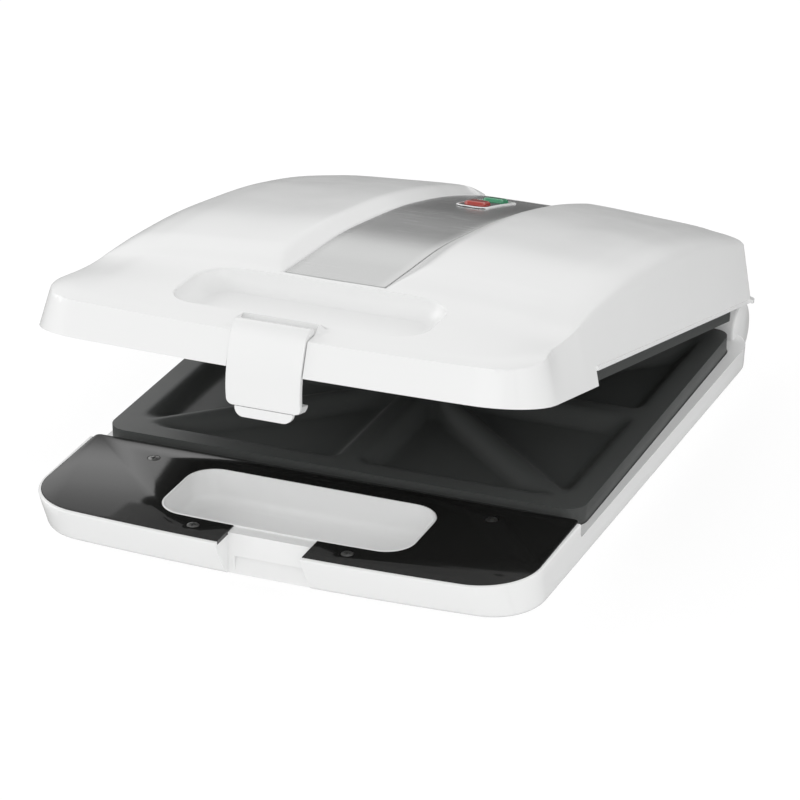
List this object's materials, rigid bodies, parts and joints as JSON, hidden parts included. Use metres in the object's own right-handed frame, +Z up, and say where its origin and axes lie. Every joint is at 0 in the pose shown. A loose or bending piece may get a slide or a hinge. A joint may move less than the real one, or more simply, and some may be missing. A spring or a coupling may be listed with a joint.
{
  "type": "sandwich toaster",
  "caption": "Countertop sandwich toaster with a crowned hinged lid, patterned cooking plates, a front latch clip and a flat black front deck.",
  "frame": {"origin": "bottom centre of the bounding box in the stored pose", "axes": "+Z up, +Y towards the hinge at the back, +X to the right seen from the front"},
  "size_m": [0.271, 0.3728, 0.1337],
  "materials": {
    "white_shell": "gloss",
    "clip_white": "gloss",
    "deck_black": "gloss",
    "plate_coating": "coated",
    "trim_steel": "satin",
    "screw_steel": "plain",
    "heater_steel": "heat stained",
    "tray_aluminium": "bright",
    "foot_rubber": "matte",
    "white_inner": "matte",
    "board_green": "matte",
    "lens_red": "clear",
    "lens_green": "clear"
  },
  "bodies": {
    "base": {"base_shell": "white_shell", "deck_plate": "deck_black", "deck_screws": "screw_steel", "rubber_feet": "foot_rubber", "lower_cooking_plate": "plate_coating", "lower_plate_screws": "screw_steel", "lower_heater": "heater_steel", "lower_reflector": "tray_aluminium", "terminal_block": "white_inner", "thermal_fuse": "white_inner", "cord_gland": "foot_rubber", "hinge_pins": "screw_steel"},
    "lid": {"lid_shell": "white_shell", "trim_panel": "trim_steel", "indicator_bezel": "white_shell", "red_lens": "lens_red", "green_lens": "lens_green", "indicator_board": "board_green", "upper_cooking_plate": "plate_coating", "upper_plate_screws": "screw_steel", "upper_heater": "heater_steel", "upper_reflector": "tray_aluminium", "thermostat": "screw_steel", "under_cover": "white_shell", "under_cover_screws": "screw_steel", "latch_pin": "screw_steel"},
    "latch": {"latch_clip": "clip_white"}
  },
  "joints": [
    {"name": "lid_hinge", "type": "hinge", "parent": "base", "child": "lid", "pos_m": [0, 0.17115, 0.0173], "axis": [-1, 0, 0], "range_deg": [-14, 86]},
    {"name": "clip_swing", "type": "hinge", "parent": "lid", "child": "latch", "pos_m": [0, -0.16389, 0.12608], "axis": [-1, 0, 0], "range_deg": [-6, 55]}
  ]
}
